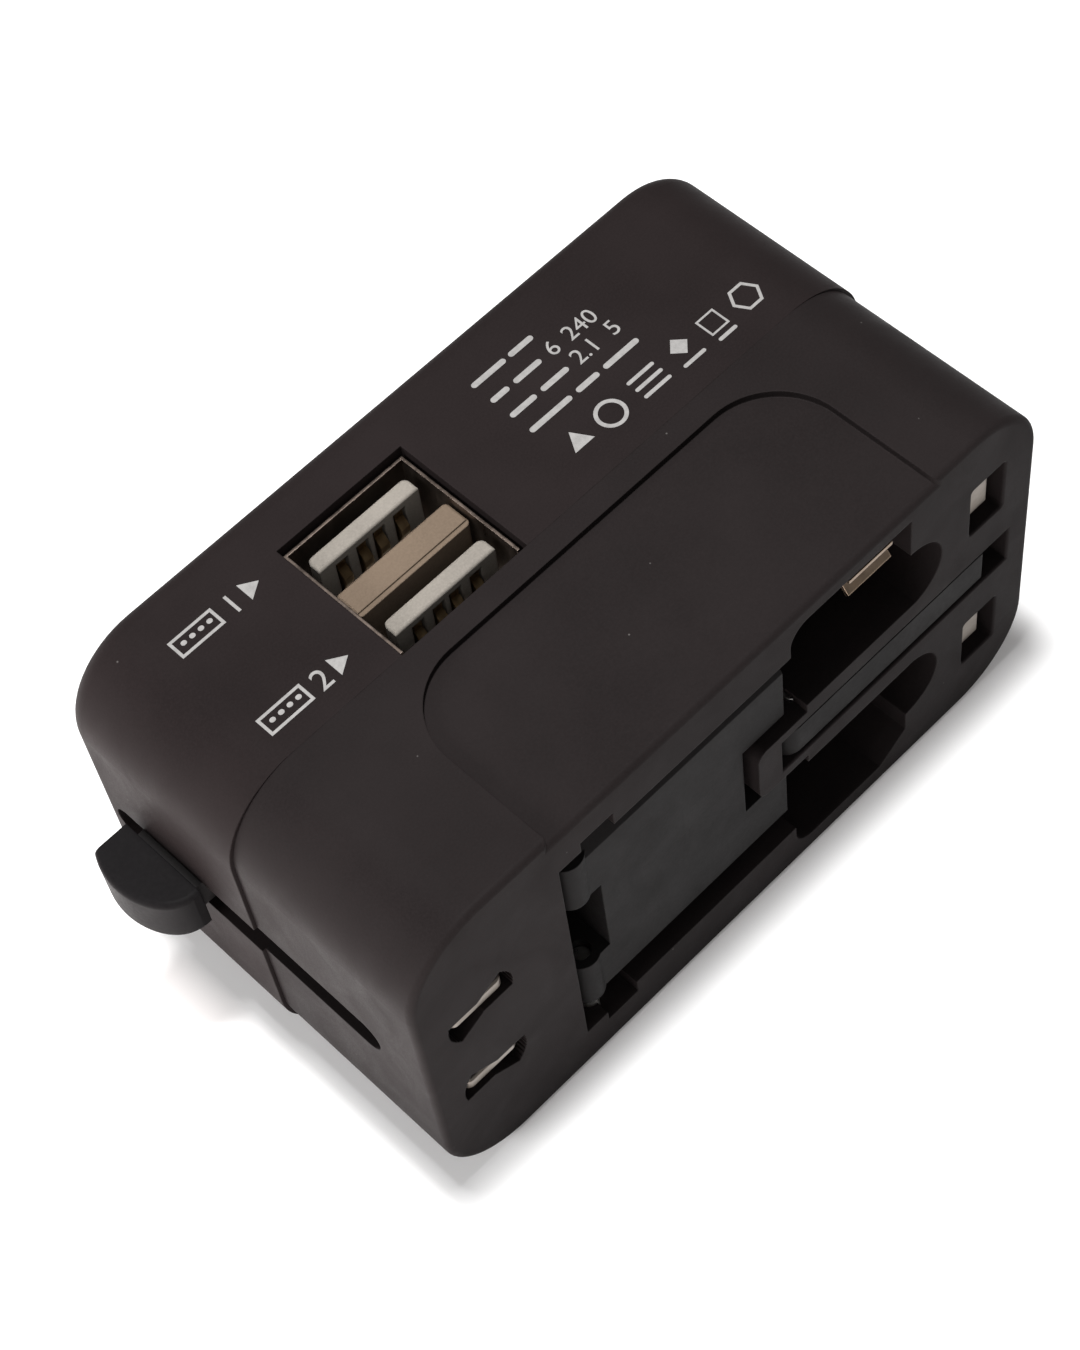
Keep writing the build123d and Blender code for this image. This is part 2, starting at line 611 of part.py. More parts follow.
with BuildPart() as controller_chip:
    block(CHIP_X, (-0.1, 1.4), CHIP_Z)
    for step in range(4):
        leg_x = CHIP_X[0] + 0.55 + CHIP_PITCH * step
        block(around(leg_x, 0.4), (BOARD_Y, -0.1), grown(CHIP_Z, 1.1))
save(controller_chip, "controller_chip")

with BuildPart() as inductor:
    rod_y(*INDUCTOR, (BOARD_Y, INDUCTOR_Y[0]), INDUCTOR_R[0])
    rod_y(*INDUCTOR, (INDUCTOR_Y[0], INDUCTOR_Y[1]), INDUCTOR_R[1])
    rod_y(*INDUCTOR, (INDUCTOR_Y[1], INDUCTOR_Y[2]), INDUCTOR_R[0])
save(inductor, "inductor")

with BuildPart() as fuse:
    rod_z(FUSE_X, FUSE_Y, (-FUSE_HALF, FUSE_HALF), FUSE_R)
    # end caps
    for end in (-1, 1):
        rod_z(FUSE_X, FUSE_Y, mirrored(end, FUSE_HALF / 2, FUSE_HALF), FUSE_CAP_R)
save(fuse, "fuse")

with BuildPart() as fuse_clips:
    for end in (-1, 1):
        clip_z = mirrored(end, *CLIP_Z)
        block(around(FUSE_X, 6.2), (BOARD_Y, 11.5), clip_z)
        block(around(FUSE_X, 5.4), (0.1, 12.0), grown(clip_z, CUT), Mode.SUBTRACT)
        block(around(FUSE_X, 2.0), (0.1, 7.4), clip_z)
save(fuse_clips, "fuse_clips")

# ------------------------------------------------------------ sliders
def slider_arm(side, x_low):
    """Arm of a carriage filling its track, with the tab that the knob is pressed on."""
    slot_bar(side, (x_low, ARM_FACE), ARM_Y, ARM_HALF)
    block(mirrored(side, ARM_FACE - 0.1, TAB_OUT), TAB_Y, (-ARM_HALF, ARM_HALF))


def slider_knob(side, name):
    """Thumb piece of a slider: steep towards the socket face, rounded towards the plug face."""
    toe = (side * KNOB_TOE, KNOB_Y[0])
    back = (side * KNOB_BACK, KNOB_Y[1])
    crest = [(side * x, y) for x, y in KNOB_CREST]
    with BuildPart() as knob:
        with BuildSketch(level(-KNOB_HALF)):
            with BuildLine():
                Polyline(toe, (side * KNOB_BASE, KNOB_Y[0]), (side * KNOB_BASE, KNOB_Y[1]), back)
                Spline(back, *crest, toe)
            make_face()
        extrude(amount=2 * KNOB_HALF)
        fillet(knob.edges().filter_by(GeomType.BSPLINE), KNOB_ROUND)
        pocket = mirrored(side, KNOB_BASE - CUT, TAB_OUT)
        block(pocket, TAB_Y, (-ARM_HALF, ARM_HALF), Mode.SUBTRACT)
    save(knob, name)


# ------------------------------------------------------------ flat-blade plug
with BuildPart() as us_carriage:
    block(US_CARRIAGE_X, US_CARRIAGE_Y, (-US_CARRIAGE_HALF, US_CARRIAGE_HALF))
    fillet(us_carriage.edges().filter_by(Axis.Y), 0.8)
    slider_arm(-1, 36.2)
    # seats of the two drums and their flanges
    for side in (1, -1):
        z = side * BLADE_PITCH / 2
        rod_y(BLADE_X, z, (-2.0, DRUM_Y[1] - FIT), DRUM_R + FIT, Mode.SUBTRACT)
        rod_y(BLADE_X, z, (DRUM_FLANGE_Y[0] - 0.1, 13.0), DRUM_FLANGE_R + 0.35, Mode.SUBTRACT)
save(us_carriage, "us_carriage")

slider_knob(-1, "us_knob")

for blade_name, drum_name, side in (
    ("us_blade_live", "us_drum_live", 1),
    ("us_blade_neutral", "us_drum_neutral", -1),
):
    z = side * BLADE_PITCH / 2
    blade_x = around(BLADE_X, BLADE_WIDTH)
    blade_z = around(z, BLADE_THICK)
    with BuildPart() as blade:
        block(blade_x, BLADE_Y, blade_z)
        # rounded corners and broken edges at the tip
        fillet(blade.edges().filter_by(Axis.Z).group_by(Axis.Y)[0], 0.8)
        chamfer(blade.faces().sort_by(Axis.Y)[0].edges(), 0.2)
    save(blade, blade_name)
    with BuildPart() as drum:
        rod_y(BLADE_X, z, DRUM_Y, DRUM_R)
        rod_y(BLADE_X, z, DRUM_FLANGE_Y, DRUM_FLANGE_R)
        block(blade_x, (DRUM_Y[0] - 0.2, DRUM_FLANGE_Y[1] + 0.2), blade_z, Mode.SUBTRACT)
    save(drum, drum_name)

# ------------------------------------------------------------ three-pin plug
with BuildPart() as uk_carriage:
    for side in (1, -1):
        block(UK_CARRIAGE_X, UK_CARRIAGE_Y, mirrored(side, *UK_CARRIAGE_Z))
    outer = uk_carriage.edges().filter_by(Axis.Y).group_by(Axis.X)[-1]
    fillet(outer.group_by(Axis.Z)[0] + outer.group_by(Axis.Z)[-1], 2.5)
    # bridge between the two pin holders, and the root of the arm
    block(UK_CARRIAGE_X, (UK_BRIDGE_Y, UK_CARRIAGE_Y[1]), (-UK_CARRIAGE_Z[0], UK_CARRIAGE_Z[0]))
    block((UK_CARRIAGE_X[1] - 0.5, UK_TAIL), (9.0, UK_CARRIAGE_Y[1]), (-ARM_HALF, ARM_HALF))
    slider_arm(1, 37.6)
    for side in (1, -1):
        seat_z = around(side * PIN_PITCH / 2, PIN_DZ)
        block(around(PIN_X, PIN_DX), (-1.0, PIN_Y[1]), seat_z, Mode.SUBTRACT)
save(uk_carriage, "uk_carriage")

slider_knob(1, "uk_knob")

for name, side in (("uk_pin_live", 1), ("uk_pin_neutral", -1)):
    with BuildPart() as pin:
        block(around(PIN_X, PIN_DX), PIN_Y, around(side * PIN_PITCH / 2, PIN_DZ))
        chamfer(pin.faces().sort_by(Axis.Y)[0].edges(), PIN_CHAMFER)
    save(pin, name)

with BuildPart() as earth_pin:
    block((EARTH_HEEL, EARTH_TIP), (EARTH_TOP, EARTH_DEEP), (-EARTH_HALF, EARTH_HALF))
    # rounded heel that clears the slot while the pin turns out
    front_heel = earth_pin.edges().filter_by(Axis.Z).group_by(Axis.X)[0].sort_by(Axis.Y)[0]
    fillet(front_heel, 2.0)
    back_heel = earth_pin.edges().filter_by(Axis.Z).sort_by(Axis.Y)[-2:].sort_by(Axis.X)[0]
    fillet(back_heel, 3.0)
    chamfer(earth_pin.faces().sort_by(Axis.X)[-1].edges(), 1.0)
    rod_z(EARTH_AXIS_X, EARTH_AXIS_Y, (-3.0, 3.0), EARTH_AXLE_R + FIT, Mode.SUBTRACT)
save(earth_pin, "earth_pin")

with BuildPart() as earth_axle:
    rod_z(EARTH_AXIS_X, EARTH_AXIS_Y, (-4.3, 4.3), EARTH_AXLE_R)
save(earth_axle, "earth_axle")

# ------------------------------------------------------------ round-pin plug
with BuildPart() as euro_body:
    profile = [
        (EURO_TOP, EURO_HALF - EURO_CHAMFER[1]),
        (EURO_TOP + EURO_CHAMFER[0], EURO_HALF),
        (EURO_DEEP - EURO_CHAMFER[0], EURO_HALF),
        (EURO_DEEP, EURO_HALF - EURO_CHAMFER[1]),
    ]
    mirror_profile = [(y, -z) for y, z in reversed(profile)]
    with BuildSketch(Plane(origin=(EURO_AXIS_X, 0, MID), x_dir=(0, 1, 0), z_dir=(1, 0, 0))):
        with BuildLine():
            Polyline(*profile, *mirror_profile, profile[0])
        make_face()
    extrude(amount=EURO_END - EURO_AXIS_X)
    # hinge knuckles
    for side in (1, -1):
        rod_z(EURO_AXIS_X, EURO_AXIS_Y, mirrored(side, *KNUCKLE_Z), KNUCKLE_R)
    # gap between the knuckles
    block((-22.0, -17.2), (-22.0, -14.0), (-KNUCKLE_Z[0], KNUCKLE_Z[0]), Mode.SUBTRACT)
    # notch that clears the earth pin's tongue while the plug turns
    with BuildSketch(level(-NOTCH_HALF)):
        with Locations((EURO_AXIS_X, EURO_AXIS_Y)):
            Circle(2 * NOTCH_R)
            Circle(NOTCH_R, mode=Mode.SUBTRACT)
    extrude(amount=2 * NOTCH_HALF, mode=Mode.SUBTRACT)
    rod_z(EURO_AXIS_X, EURO_AXIS_Y, (-16.0, 16.0), EURO_AXLE_R + FIT, Mode.SUBTRACT)
    # seats of the two pins
    for side in (1, -1):
        z = side * EURO_PIN_PITCH / 2
        rod_x(EURO_PIN_Y, z, (EURO_PIN_ROOT, EURO_END + CUT), EURO_SHANK_R, Mode.SUBTRACT)
save(euro_body, "euro_body")

with BuildPart() as euro_axles:
    for side in (1, -1):
        rod_z(EURO_AXIS_X, EURO_AXIS_Y, mirrored(side, 7.0, 18.5), EURO_AXLE_R)
save(euro_axles, "euro_axles")

for name, side in (("euro_pin_live", 1), ("euro_pin_neutral", -1)):
    z = side * EURO_PIN_PITCH / 2
    tip_x = EURO_END + EURO_PIN_LENGTH
    with BuildPart() as pin:
        rod_x(EURO_PIN_Y, z, (EURO_PIN_ROOT, tip_x - EURO_PIN_TIP), EURO_SHANK_R)
        rod_x(EURO_PIN_Y, z, (tip_x - EURO_PIN_TIP, tip_x), EURO_PIN_R)
        fillet(pin.edges().sort_by(Axis.X)[-1], 1.6)
    save(pin, name)

with BuildPart() as euro_sleeves:
    for side in (1, -1):
        z = side * EURO_PIN_PITCH / 2
        sleeve_x = (EURO_END, EURO_END + EURO_SLEEVE)
        rod_x(EURO_PIN_Y, z, sleeve_x, EURO_SLEEVE_R)
        rod_x(EURO_PIN_Y, z, grown(sleeve_x, CUT), EURO_SHANK_R, Mode.SUBTRACT)
save(euro_sleeves, "euro_sleeves")
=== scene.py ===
import bmesh
import bpy
import json
import math
from mathutils import Matrix, Vector

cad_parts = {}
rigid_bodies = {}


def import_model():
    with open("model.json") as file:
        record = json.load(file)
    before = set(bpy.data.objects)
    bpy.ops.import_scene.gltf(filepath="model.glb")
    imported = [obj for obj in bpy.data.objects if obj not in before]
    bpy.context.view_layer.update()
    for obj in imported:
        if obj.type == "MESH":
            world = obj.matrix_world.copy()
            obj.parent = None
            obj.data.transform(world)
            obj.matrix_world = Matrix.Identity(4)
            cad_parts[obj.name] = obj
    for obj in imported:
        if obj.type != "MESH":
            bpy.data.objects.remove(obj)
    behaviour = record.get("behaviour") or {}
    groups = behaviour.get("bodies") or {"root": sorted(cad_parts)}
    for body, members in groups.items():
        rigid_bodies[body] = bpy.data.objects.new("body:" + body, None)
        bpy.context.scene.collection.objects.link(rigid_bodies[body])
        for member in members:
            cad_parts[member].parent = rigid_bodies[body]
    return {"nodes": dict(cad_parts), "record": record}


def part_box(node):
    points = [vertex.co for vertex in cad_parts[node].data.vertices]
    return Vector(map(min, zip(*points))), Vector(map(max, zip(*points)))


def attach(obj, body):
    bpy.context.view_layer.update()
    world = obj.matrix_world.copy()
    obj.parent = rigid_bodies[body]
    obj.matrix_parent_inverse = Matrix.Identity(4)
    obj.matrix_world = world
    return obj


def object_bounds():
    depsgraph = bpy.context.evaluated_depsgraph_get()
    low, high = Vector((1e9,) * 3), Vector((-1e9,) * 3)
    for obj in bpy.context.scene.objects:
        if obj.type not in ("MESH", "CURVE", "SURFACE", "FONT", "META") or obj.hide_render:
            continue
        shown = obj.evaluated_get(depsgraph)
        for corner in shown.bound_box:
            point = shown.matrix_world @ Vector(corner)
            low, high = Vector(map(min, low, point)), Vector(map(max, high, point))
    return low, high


# Looks of the universal travel adapter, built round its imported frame. Metres, +Z up.

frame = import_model()
CAD_LOW, CAD_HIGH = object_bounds()
MM = 0.001
TOP_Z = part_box("front_shell")[1].z
MID_Z = TOP_Z / 2


# ---------------------------------------------------------------- node helpers
class Mat:
    """A procedural material around one Principled shader, in object coordinates, which are metres."""

    def __init__(self, name):
        self.mat = bpy.data.materials.new(name)
        self.mat.use_nodes = True
        self.nodes = self.mat.node_tree.nodes
        self.links = self.mat.node_tree.links
        self.shader = self.nodes["Principled BSDF"]
        self.coord = self.nodes.new("ShaderNodeTexCoord").outputs["Object"]

    def put(self, socket, value):
        """Links a socket, or sets the shader's own value where it is the same all over."""
        if isinstance(value, bpy.types.NodeSocket):
            self.links.new(value, socket)
        else:
            socket.default_value = value

    def set(self, **values):
        for name, value in values.items():
            self.put(self.shader.inputs[name.replace("_", " ")], value)
        return self

    def stretched(self, scale):
        """The object coordinates scaled by (x, y, z)."""
        node = self.nodes.new("ShaderNodeMapping")
        node.inputs["Scale"].default_value = scale
        self.links.new(self.coord, node.inputs["Vector"])
        return node.outputs["Vector"]

    def noise(self, size, detail=3.0, rough=0.5, vector=None, distort=0.0):
        """Noise whose blobs are about size metres across."""
        node = self.nodes.new("ShaderNodeTexNoise")
        node.inputs["Scale"].default_value = 1.0 / size
        node.inputs["Detail"].default_value = detail
        node.inputs["Roughness"].default_value = rough
        node.inputs["Distortion"].default_value = distort
        self.links.new(vector or self.coord, node.inputs["Vector"])
        return node.outputs["Fac"]

    def cells(self, size, feature="F1"):
        """Distance to the nearest point of a Voronoi pattern with cells about size metres across."""
        node = self.nodes.new("ShaderNodeTexVoronoi")
        node.feature = feature
        node.inputs["Scale"].default_value = 1.0 / size
        self.links.new(self.coord, node.inputs["Vector"])
        return node.outputs["Distance"]

    def ramp(self, value, low, high, start=0.0, end=1.0):
        """Maps value from low..high to start..end, held at both ends."""
        node = self.nodes.new("ShaderNodeMapRange")
        node.clamp = True
        self.links.new(value, node.inputs["Value"])
        node.inputs["From Min"].default_value = low
        node.inputs["From Max"].default_value = high
        node.inputs["To Min"].default_value = start
        node.inputs["To Max"].default_value = end
        return node.outputs["Result"]

    def math(self, operation, a, b=0.0):
        node = self.nodes.new("ShaderNodeMath")
        node.operation = operation
        self.put(node.inputs[0], a)
        self.put(node.inputs[1], b)
        return node.outputs["Value"]

    def mix(self, factor, a, b):
        """Mixes two colours."""
        node = self.nodes.new("ShaderNodeMix")
        node.data_type = "RGBA"
        self.put(node.inputs["Factor"], factor)
        for key, value in (("A", a), ("B", b)):
            socket = [s for s in node.inputs if s.name == key and s.type == "RGBA"][0]
            self.put(socket, value if isinstance(value, bpy.types.NodeSocket) else (*value, 1.0))
        return [s for s in node.outputs if s.type == "RGBA"][0]

    def edges(self, radius):
        """Normal rounded at sharp edges, and a mask that is 1 at those edges and 0 on flat faces."""
        node = self.nodes.new("ShaderNodeBevel")
        node.samples = 6
        node.inputs["Radius"].default_value = radius
        flat = self.nodes.new("ShaderNodeNewGeometry").outputs["Normal"]
        dot = self.nodes.new("ShaderNodeVectorMath")
        dot.operation = "DOT_PRODUCT"
        self.links.new(node.outputs["Normal"], dot.inputs[0])
        self.links.new(flat, dot.inputs[1])
        return node.outputs["Normal"], self.ramp(dot.outputs["Value"], 0.99, 0.8)

    def bump(self, height, distance, strength=1.0, normal=None):
        node = self.nodes.new("ShaderNodeBump")
        node.inputs["Strength"].default_value = strength
        node.inputs["Distance"].default_value = distance
        self.links.new(height, node.inputs["Height"])
        if normal is not None:
            self.links.new(normal, node.inputs["Normal"])
        return node.outputs["Normal"]


DUST = (0.2, 0.19, 0.18)


def lighter(colour, factor):
    return tuple(min(1.0, c * factor) for c in colour)


def moulded(name, colour, rough, grain=0.00022, depth=0.000012, wear=1.9, edge=0.0002, sheen=0.02):
    """Moulded plastic: fine spark texture, handling marks, edges paler by use and odd specks of dust."""
    m = Mat(name)
    drift = m.noise(0.014, 3.0, 0.55)
    fine = m.noise(grain, 2.0, 0.6)
    handling = m.noise(0.006, 4.0, 0.6, m.stretched((1.0, 1.6, 1.0)), 0.6)
    normal, edge_mask = m.edges(edge)
    rub = m.math("MULTIPLY", edge_mask, m.ramp(m.noise(0.0025, 3.0), 0.35, 0.7))
    tone = m.mix(m.ramp(drift, 0.3, 0.7), lighter(colour, 0.86), lighter(colour, 1.16))
    tone = m.mix(m.ramp(fine, 0.35, 0.75, 0.0, 0.35), tone, lighter(colour, 1.5))
    tone = m.mix(m.math("MULTIPLY", rub, 0.6), tone, lighter(colour, wear))
    speck = m.ramp(m.cells(0.0052), 0.022, 0.012)
    tone = m.mix(m.math("MULTIPLY", speck, 0.35), tone, DUST)
    handled = m.ramp(handling, 0.25, 0.75, rough - 0.07, rough + 0.07)
    gloss = m.math("ADD", handled, m.ramp(fine, 0.3, 0.7, -0.04, 0.05))
    gloss = m.math("SUBTRACT", gloss, m.math("MULTIPLY", rub, 0.12))
    height = m.math("ADD", fine, m.math("MULTIPLY", m.noise(grain * 3.3, 2.0), 0.5))
    surface = m.bump(height, depth, 0.9, normal)
    m.set(Base_Color=tone, Roughness=gloss, Normal=surface, Specular_IOR_Level=sheen)
    return m.mat


def metal(name, colour, rough, grain=(1.0, 1.0, 1.0), tarnish=(0.5, 0.42, 0.3), edge=0.00015):
    """Plated or plain metal: drawn or tumbled grain, a little tarnish and fine scratches."""
    m = Mat(name)
    lines = m.noise(0.0009, 4.0, 0.65, m.stretched(grain))
    blotch = m.noise(0.0035, 4.0, 0.6)
    normal, edge_mask = m.edges(edge)
    tarnished = tuple(a * b for a, b in zip(colour, tarnish))
    tone = m.mix(m.ramp(blotch, 0.5, 0.85, 0.0, 0.45), colour, tarnished)
    tone = m.mix(m.math("MULTIPLY", edge_mask, 0.4), tone, lighter(colour, 1.15))
    drawn = m.ramp(lines, 0.3, 0.7, rough - 0.08, rough + 0.1)
    gloss = m.math("ADD", drawn, m.ramp(blotch, 0.4, 0.8, 0.0, 0.12))
    m.set(Base_Color=tone, Roughness=gloss, Metallic=1.0, Normal=m.bump(lines, 0.000006, 0.6, normal))
    return m.mat


def board(name):
    """Solder-masked circuit board with the faint relief of its tracks."""
    m = Mat(name)
    tracks = m.cells(0.0028, "DISTANCE_TO_EDGE")
    line = m.ramp(tracks, 0.04, 0.07, 1.0, 0.0)
    tone = m.mix(line, (0.012, 0.085, 0.035), (0.03, 0.16, 0.06))
    tone = m.mix(m.ramp(m.noise(0.008), 0.3, 0.7, 0.0, 0.4), tone, (0.008, 0.06, 0.03))
    gloss = m.ramp(m.noise(0.002), 0.3, 0.7, 0.28, 0.42)
    m.set(Base_Color=tone, Roughness=gloss, Normal=m.bump(line, 0.00003, 0.7))
    return m.mat


def tape(name, colour):
    """Insulating tape wound round a coil, its turns showing as fine ridges."""
    m = Mat(name)
    turns = m.noise(0.0006, 2.0, 0.5, m.stretched((0.15, 1.0, 0.15)))
    tone = m.mix(m.ramp(turns, 0.35, 0.65), lighter(colour, 0.8), lighter(colour, 1.15))
    gloss = m.ramp(m.noise(0.003), 0.3, 0.7, 0.25, 0.4)
    m.set(Base_Color=tone, Roughness=gloss, Normal=m.bump(turns, 0.00004, 0.6))
    return m.mat


def ink(name):
    """Pad-printed pale ink, slightly thin in places."""
    m = Mat(name)
    wear = m.noise(0.0007, 4.0, 0.7)
    tone = m.mix(m.ramp(wear, 0.35, 0.8, 0.0, 0.55), (0.29, 0.281, 0.273), (0.12, 0.114, 0.111))
    m.set(Base_Color=tone, Roughness=m.ramp(wear, 0.3, 0.7, 0.5, 0.65), Normal=m.bump(wear, 0.000008, 0.6))
    return m.mat


MATERIALS = {
    "rear_housing": moulded("rear_housing_plastic", (0.0138, 0.0112, 0.0112), 0.52),
    "front_housing": moulded("front_housing_plastic", (0.0146, 0.0113, 0.0113), 0.52),
    "socket_face": moulded("socket_face_plastic", (0.01, 0.0093, 0.0096), 0.4, grain=0.0003),
    "plug_plastic": moulded("plug_plastic", (0.0112, 0.0103, 0.0103), 0.45, grain=0.0004, depth=0.000006),
    "knob_plastic": moulded("knob_plastic", (0.0095, 0.0087, 0.0091), 0.5, grain=0.00035, depth=0.000008),
    "frame_plastic": moulded("frame_plastic", (0.03, 0.028, 0.028), 0.5),
    "sleeve_plastic": moulded("sleeve_plastic", (0.01, 0.0095, 0.0095), 0.3, depth=0.000004),
    "screw_steel": metal("screw_steel", (0.16, 0.155, 0.15), 0.38),
    "axle_steel": metal("axle_steel", (0.5, 0.49, 0.47), 0.28),
    "nickel": metal("nickel", (0.22, 0.193, 0.168), 0.34, (0.25, 1.0, 1.0)),
    "brass_strip": metal("brass_strip", (0.24, 0.18, 0.13), 0.32),
    "usb_metal": metal("usb_metal", (0.17, 0.135, 0.115), 0.34, (1.0, 1.0, 0.2)),
    "usb_white": moulded("usb_white_plastic", (0.222, 0.202, 0.178), 0.42, wear=1.1),
    "usb_beige": moulded("usb_beige_plastic", (0.14, 0.105, 0.077), 0.5, wear=1.15),
    "usb_brass": metal("usb_brass", (0.3, 0.215, 0.12), 0.36),
    "board_green": board("circuit_board"),
    "ferrite": moulded("ferrite", (0.03, 0.029, 0.03), 0.55, wear=1.3),
    "tape_yellow": tape("yellow_tape", (0.62, 0.42, 0.05)),
    "capacitor_sleeve": moulded("capacitor_sleeve", (0.02, 0.022, 0.03), 0.28, wear=1.2),
    "chip_black": moulded("chip_resin", (0.018, 0.018, 0.018), 0.5, wear=1.2),
    "fuse_body": moulded("fuse_ceramic", (0.7, 0.68, 0.62), 0.35, wear=1.05),
}
INK = ink("print_ink")


def finish_nodes():
    """Gives each CAD node the material of its slot in the record."""
    for sub in frame["record"]["subparts"]:
        node = frame["nodes"][sub["node"]]
        node.data.materials.clear()
        node.data.materials.append(MATERIALS[sub["material_slot"]])


# ---------------------------------------------------------------- print on the broad face
def new_mesh(name, build, material):
    """Object made by a function that fills a bmesh."""
    bm = bmesh.new()
    build(bm)
    mesh = bpy.data.meshes.new(name)
    bm.to_mesh(mesh)
    bm.free()
    mesh.materials.append(material)
    obj = bpy.data.objects.new(name, mesh)
    bpy.context.scene.collection.objects.link(obj)
    return obj


INK_THICK = 0.03 * MM
END_STEPS = 8
WORD_BAR = 0.62
THIN_BAR = 0.4
RATING_DIGITS = 2.5
PORT_DIGITS = 3.2
PORT_FRAME = ((-31.0, -26.0), 1.1)
PORT_LINE = 0.3
CONTACT_BAR = (0.6, 0.5)
CIRCLE_STEPS = 32


def ring(bm, outline, z):
    """Corners of an outline given in mm, at the height z in metres."""
    return [bm.verts.new((x * MM, y * MM, z)) for x, y in outline]


def ink_patch(bm, outline, hole=None):
    """Thin raised patch of ink from an outline in mm. A hole has as many corners as the outline."""
    low = ring(bm, outline, TOP_Z - INK_THICK)
    high = ring(bm, outline, TOP_Z + INK_THICK)
    count = len(outline)
    if hole is None:
        bm.faces.new(high)
        bm.faces.new(list(reversed(low)))
    else:
        low_in = ring(bm, hole, TOP_Z - INK_THICK)
        high_in = ring(bm, hole, TOP_Z + INK_THICK)
        for i in range(count):
            j = (i + 1) % count
            bm.faces.new((high[i], high[j], high_in[j], high_in[i]))
            bm.faces.new((low[j], low[i], low_in[i], low_in[j]))
            bm.faces.new((low_in[i], high_in[i], high_in[j], low_in[j]))
    for i in range(count):
        j = (i + 1) % count
        bm.faces.new((low[i], low[j], high[j], high[i]))


def regular(x, y, radius, count, turn=0.0):
    """Outline of a regular polygon with its first corner at the angle turn."""
    angles = [turn + i * 2 * math.pi / count for i in range(count)]
    return [(x + radius * math.cos(a), y + radius * math.sin(a)) for a in angles]


def bar(x, y, length, height):
    """Outline of a bar with rounded ends, from its left end's middle."""
    r = height / 2
    angles = [i * math.pi / END_STEPS for i in range(END_STEPS + 1)]
    right = [(x + length - r + r * math.sin(a), y - r * math.cos(a)) for a in angles]
    left = [(x + r - r * math.sin(a), y + r * math.cos(a)) for a in angles]
    return right + left


def number(text, x, y, size):
    """Digits in the plain built-in typeface, as ink. Returns a mesh object."""
    curve = bpy.data.curves.new("digits", "FONT")
    curve.body = text
    curve.size = size * MM
    curve.extrude = INK_THICK
    curve.resolution_u = 6
    holder = bpy.data.objects.new("digits", curve)
    mesh = bpy.data.meshes.new_from_object(holder)
    bpy.data.objects.remove(holder)
    mesh.transform(Matrix.Translation((x * MM, y * MM, TOP_Z)))
    mesh.materials.clear()
    mesh.materials.append(INK)
    obj = bpy.data.objects.new(f"print_number_{text}_{len(bpy.data.objects)}", mesh)
    bpy.context.scene.collection.objects.link(obj)
    return obj


def rectangle(x, y):
    """Corners of a rectangle from its ranges along X and Y."""
    return [(x[0], y[0]), (x[1], y[0]), (x[1], y[1]), (x[0], y[1])]


def port_mark(digit, y):
    """Label of a USB port: a small port pictogram, its number and an arrowhead pointing at the port."""
    (left, right), half = PORT_FRAME
    inner = half - PORT_LINE

    def build(bm):
        outside = rectangle((left, right), (y - half, y + half))
        inside = rectangle((left + PORT_LINE, right - PORT_LINE), (y - inner, y + inner))
        ink_patch(bm, outside, inside)
        for i in range(4):
            ink_patch(bm, bar(left + 0.8 + i, y + 0.1, *CONTACT_BAR))
        ink_patch(bm, [(-22.9, y - half), (-21.2, y), (-22.9, y + half)])
    mark = new_mesh(f"port_mark_{digit}", build, INK)
    return [mark, number(digit, -25.2, y - 1.15, PORT_DIGITS)]


def rating_block():
    """Generic lines of bars and rating numbers, and a row of plain shapes under them."""
    def build(bm):
        for x, y, length in (
            (5.8, 15.9, 4.2), (10.5, 15.9, 3.0),
            (5.8, 13.4, 2.2), (8.7, 13.4, 3.4),
            (5.8, 10.9, 3.2), (9.7, 10.9, 3.4),
            (5.8, 8.4, 5.2), (11.7, 8.4, 2.8), (15.2, 8.4, 4.4),
        ):
            ink_patch(bm, bar(x, y, length, WORD_BAR))
        ink_patch(bm, regular(8.0, 4.4, 1.4, 3, math.pi / 2))
        ink_patch(bm, regular(12.0, 4.4, 1.6, CIRCLE_STEPS), regular(12.0, 4.4, 1.2, CIRCLE_STEPS))
        for i in range(3):
            ink_patch(bm, bar(15.2, 3.3 + 1.1 * i, 3.4, THIN_BAR))
        ink_patch(bm, regular(21.4, 5.0, 1.1, 4))
        ink_patch(bm, bar(20.0, 3.0, 2.8, THIN_BAR))
        ink_patch(bm, regular(25.4, 4.6, 1.6, 4, math.pi / 4), regular(25.4, 4.6, 1.3, 4, math.pi / 4))
        ink_patch(bm, bar(24.3, 2.7, 2.3, THIN_BAR))
        ink_patch(bm, regular(29.6, 4.4, 1.7, 6), regular(29.6, 4.4, 1.35, 6))
    return [
        new_mesh("rating_print", build, INK),
        number("6", 13.1, 12.75, RATING_DIGITS),
        number("240", 15.4, 12.75, RATING_DIGITS),
        number("2.1", 14.0, 10.25, RATING_DIGITS),
        number("5", 18.4, 10.25, RATING_DIGITS),
    ]


def add_print():
    for piece in port_mark("1", 15.0) + port_mark("2", 3.5) + rating_block():
        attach(piece, "housing")


# ---------------------------------------------------------------- studio
# Floor emission: FLOOR_GLOW is even all over; LEFT_GLOW is painted light, a glowing patch of floor on the
# adapter's left that lights its left end.
FLOOR_GLOW = 0.09
LEFT_GLOW = 3.4
LEFT_GLOW_START = 0.001
LEFT_GLOW_FULL = 0.024
FLOOR_HALF = 3.0
FLOOR_GAP = 0.0001
WORLD_STRENGTH = 0.18
CAMERA_PLACE = (-0.08881, -0.11388, 0.25121)
CAMERA_AIM = (-0.00343, 0.00081, MID_Z)
CAMERA_ROLL = math.radians(-9.84)
CAMERA_LENS = 77.12


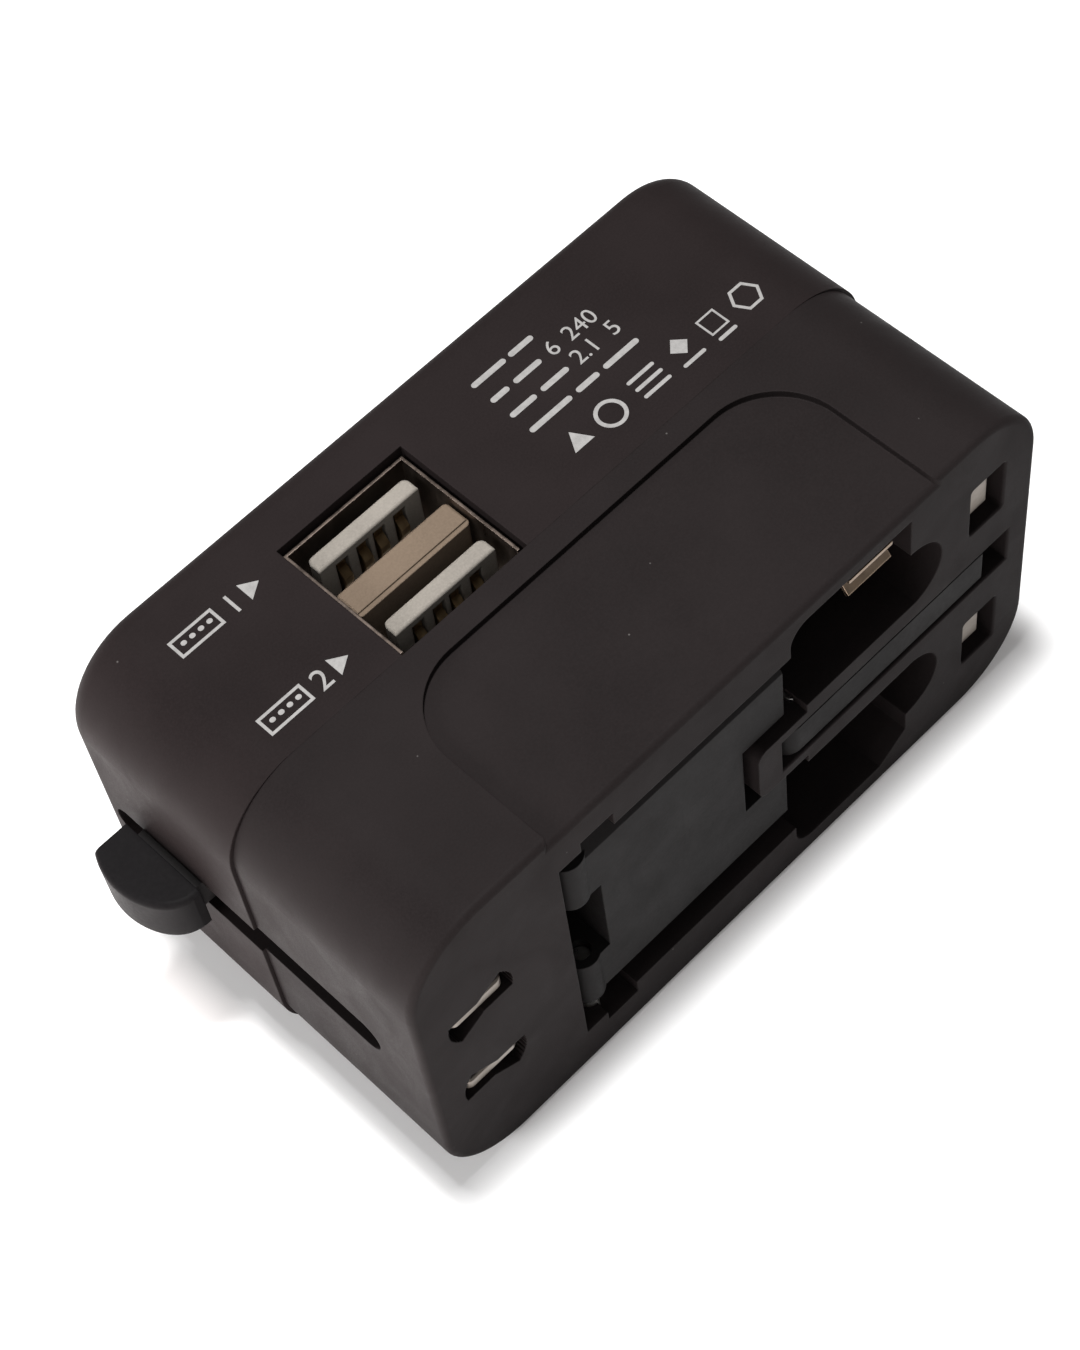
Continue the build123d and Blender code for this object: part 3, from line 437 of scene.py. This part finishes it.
def floor():
    """Pale floor. Its paper glows a little all over and strongly on the adapter's left: a painted pool of
    light that lights the adapter's left end like a lamp.
    """
    m = Mat("floor_paper_painted_glow")
    paper = m.noise(0.004, 3.0)
    m.set(Base_Color=m.mix(paper, (0.86, 0.86, 0.86), (0.9, 0.9, 0.9)), Roughness=0.85)
    split = m.nodes.new("ShaderNodeSeparateXYZ")
    m.links.new(m.coord, split.inputs["Vector"])
    body_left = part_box("rear_shell")[0].x
    start, full = body_left - LEFT_GLOW_START, body_left - LEFT_GLOW_FULL
    # Painted light: the floor's emission rises towards the adapter's left, a glowing patch that stands in
    # for a lamp on that side.
    left = m.ramp(split.outputs["X"], start, full, FLOOR_GLOW, LEFT_GLOW)
    m.put(m.shader.inputs["Emission Strength"], left)
    m.shader.inputs["Emission Color"].default_value = (1.0, 0.93, 0.91, 1.0)

    def build(bm):
        span = (-FLOOR_HALF, FLOOR_HALF)
        corners = [(x, y, CAD_LOW.z - FLOOR_GAP) for x, y in rectangle(span, span)]
        bm.faces.new([bm.verts.new(corner) for corner in corners])
    new_mesh("floor", build, m.mat)


def softbox(name, place, target, size, power):
    light = bpy.data.lights.new(name, "AREA")
    light.shape = "RECTANGLE"
    light.size, light.size_y = size
    light.energy = power
    obj = bpy.data.objects.new(name, light)
    obj.location = place
    obj.rotation_euler = (Vector(target) - Vector(place)).to_track_quat("-Z", "Y").to_euler()
    bpy.context.scene.collection.objects.link(obj)


def studio():
    scene = bpy.context.scene
    scene.view_settings.view_transform = "Standard"
    world = bpy.data.worlds.new("studio")
    scene.world = world
    world.use_nodes = True
    background = world.node_tree.nodes["Background"]
    background.inputs["Color"].default_value = (1.0, 1.0, 1.0, 1.0)
    background.inputs["Strength"].default_value = WORLD_STRENGTH
    middle = (0.0, 0.0, MID_Z)
    softbox("key", (-0.01, 0.012, 0.55), middle, (0.075, 0.075), 3.7)
    softbox("left_fill", (-0.7, 0.1, 0.3), middle, (0.4, 0.25), 3.8)
    softbox("camera_fill", (-0.25, -0.3, 0.6), middle, (0.3, 0.3), 0.4)


def camera():
    """Camera at the photograph's angle: high on the left of the plug face, turned a little."""
    place = Vector(CAMERA_PLACE)
    forward = (Vector(CAMERA_AIM) - place).normalized()
    level_right = forward.cross(Vector((0, 0, 1))).normalized()
    level_up = level_right.cross(forward)
    right = level_right * math.cos(CAMERA_ROLL) + level_up * math.sin(CAMERA_ROLL)
    up = right.cross(forward)
    turn = Matrix((right, up, -forward)).transposed()
    data = bpy.data.cameras.new("camera")
    data.lens = CAMERA_LENS
    data.clip_start = 0.01
    data.clip_end = 10.0
    obj = bpy.data.objects.new("camera", data)
    obj.matrix_world = Matrix.Translation(place) @ turn.to_4x4()
    bpy.context.scene.collection.objects.link(obj)
    bpy.context.scene.camera = obj


finish_nodes()
add_print()
floor()
studio()
camera()
